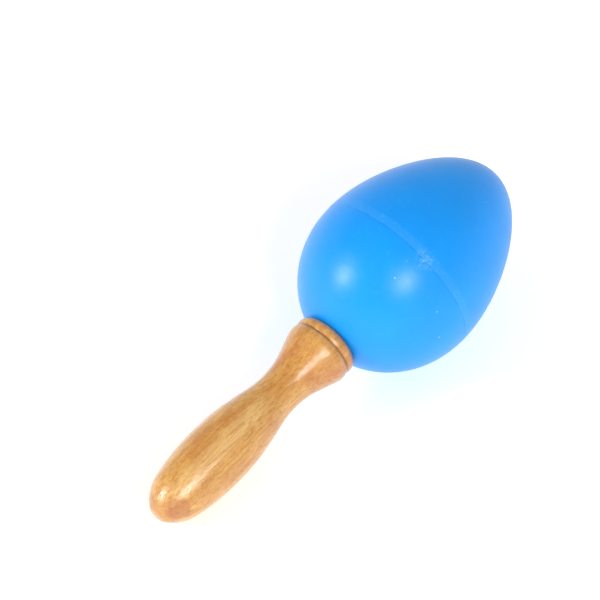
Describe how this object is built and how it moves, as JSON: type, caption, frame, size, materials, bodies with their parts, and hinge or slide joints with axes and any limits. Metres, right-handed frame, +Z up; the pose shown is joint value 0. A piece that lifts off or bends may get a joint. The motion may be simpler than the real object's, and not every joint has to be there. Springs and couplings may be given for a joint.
{
  "type": "egg shaker",
  "caption": "Handheld egg shaker: a hollow two-part plastic egg with loose shot inside, screwed to a turned wooden handle with a collar bead and a swelling grip.",
  "frame": {"origin": "middle of the bounding box at table height, with the shaker lying on its side", "axes": "+X from the butt of the handle towards the tip of the egg, +Z up from the table, +Y to the left; the shaker's own axis rises from butt to tip by 12 degrees because egg and grip both touch the table"},
  "size_m": [0.1848, 0.07, 0.0706],
  "materials": {
    "egg_plastic": "satin moulded plastic, sky blue, lightly scuffed at the seam",
    "lacquered_wood": "honey-coloured turned wood under clear gloss lacquer, grain along the handle",
    "zinc_steel": "zinc-plated steel",
    "shot_steel": "plain steel shot"
  },
  "bodies": {
    "shaker": {"handle": "lacquered_wood", "lower_shell": "egg_plastic", "upper_shell": "egg_plastic", "screw_washer": "zinc_steel", "handle_screw": "zinc_steel"},
    "shot_01_body": {"shot_01": "shot_steel"},
    "shot_02_body": {"shot_02": "shot_steel"},
    "shot_03_body": {"shot_03": "shot_steel"},
    "shot_04_body": {"shot_04": "shot_steel"},
    "shot_05_body": {"shot_05": "shot_steel"},
    "shot_06_body": {"shot_06": "shot_steel"},
    "shot_07_body": {"shot_07": "shot_steel"},
    "shot_08_body": {"shot_08": "shot_steel"},
    "shot_09_body": {"shot_09": "shot_steel"},
    "shot_10_body": {"shot_10": "shot_steel"},
    "shot_11_body": {"shot_11": "shot_steel"},
    "shot_12_body": {"shot_12": "shot_steel"},
    "shot_13_body": {"shot_13": "shot_steel"},
    "shot_14_body": {"shot_14": "shot_steel"},
    "shot_15_body": {"shot_15": "shot_steel"},
    "shot_16_body": {"shot_16": "shot_steel"},
    "shot_17_body": {"shot_17": "shot_steel"},
    "shot_18_body": {"shot_18": "shot_steel"},
    "shot_19_body": {"shot_19": "shot_steel"},
    "shot_20_body": {"shot_20": "shot_steel"},
    "shot_21_body": {"shot_21": "shot_steel"},
    "shot_22_body": {"shot_22": "shot_steel"},
    "shot_23_body": {"shot_23": "shot_steel"},
    "shot_24_body": {"shot_24": "shot_steel"}
  },
  "joints": [
    {"name": "shot_01_rattle", "type": "slide", "parent": "shaker", "child": "shot_01_body", "axis": [0, 0, 1], "range_m": [0, 0.0584]},
    {"name": "shot_02_rattle", "type": "slide", "parent": "shaker", "child": "shot_02_body", "axis": [0, 0, 1], "range_m": [0, 0.06]},
    {"name": "shot_03_rattle", "type": "slide", "parent": "shaker", "child": "shot_03_body", "axis": [0, 0, 1], "range_m": [0, 0.0606]},
    {"name": "shot_04_rattle", "type": "slide", "parent": "shaker", "child": "shot_04_body", "axis": [0, 0, 1], "range_m": [0, 0.0603]},
    {"name": "shot_05_rattle", "type": "slide", "parent": "shaker", "child": "shot_05_body", "axis": [0, 0, 1], "range_m": [0, 0.0588]},
    {"name": "shot_06_rattle", "type": "slide", "parent": "shaker", "child": "shot_06_body", "axis": [0, 0, 1], "range_m": [0, 0.0609]},
    {"name": "shot_07_rattle", "type": "slide", "parent": "shaker", "child": "shot_07_body", "axis": [0, 0, 1], "range_m": [0, 0.0619]},
    {"name": "shot_08_rattle", "type": "slide", "parent": "shaker", "child": "shot_08_body", "axis": [0, 0, 1], "range_m": [0, 0.062]},
    {"name": "shot_09_rattle", "type": "slide", "parent": "shaker", "child": "shot_09_body", "axis": [0, 0, 1], "range_m": [0, 0.0614]},
    {"name": "shot_10_rattle", "type": "slide", "parent": "shaker", "child": "shot_10_body", "axis": [0, 0, 1], "range_m": [0, 0.0578]},
    {"name": "shot_11_rattle", "type": "slide", "parent": "shaker", "child": "shot_11_body", "axis": [0, 0, 1], "range_m": [0, 0.0604]},
    {"name": "shot_12_rattle", "type": "slide", "parent": "shaker", "child": "shot_12_body", "axis": [0, 0, 1], "range_m": [0, 0.062]},
    {"name": "shot_13_rattle", "type": "slide", "parent": "shaker", "child": "shot_13_body", "axis": [0, 0, 1], "range_m": [0, 0.0626]},
    {"name": "shot_14_rattle", "type": "slide", "parent": "shaker", "child": "shot_14_body", "axis": [0, 0, 1], "range_m": [0, 0.0623]},
    {"name": "shot_15_rattle", "type": "slide", "parent": "shaker", "child": "shot_15_body", "axis": [0, 0, 1], "range_m": [0, 0.0612]},
    {"name": "shot_16_rattle", "type": "slide", "parent": "shaker", "child": "shot_16_body", "axis": [0, 0, 1], "range_m": [0, 0.0588]},
    {"name": "shot_17_rattle", "type": "slide", "parent": "shaker", "child": "shot_17_body", "axis": [0, 0, 1], "range_m": [0, 0.0609]},
    {"name": "shot_18_rattle", "type": "slide", "parent": "shaker", "child": "shot_18_body", "axis": [0, 0, 1], "range_m": [0, 0.0619]},
    {"name": "shot_19_rattle", "type": "slide", "parent": "shaker", "child": "shot_19_body", "axis": [0, 0, 1], "range_m": [0, 0.062]},
    {"name": "shot_20_rattle", "type": "slide", "parent": "shaker", "child": "shot_20_body", "axis": [0, 0, 1], "range_m": [0, 0.0614]},
    {"name": "shot_21_rattle", "type": "slide", "parent": "shaker", "child": "shot_21_body", "axis": [0, 0, 1], "range_m": [0, 0.0584]},
    {"name": "shot_22_rattle", "type": "slide", "parent": "shaker", "child": "shot_22_body", "axis": [0, 0, 1], "range_m": [0, 0.06]},
    {"name": "shot_23_rattle", "type": "slide", "parent": "shaker", "child": "shot_23_body", "axis": [0, 0, 1], "range_m": [0, 0.0606]},
    {"name": "shot_24_rattle", "type": "slide", "parent": "shaker", "child": "shot_24_body", "axis": [0, 0, 1], "range_m": [0, 0.0603]}
  ]
}
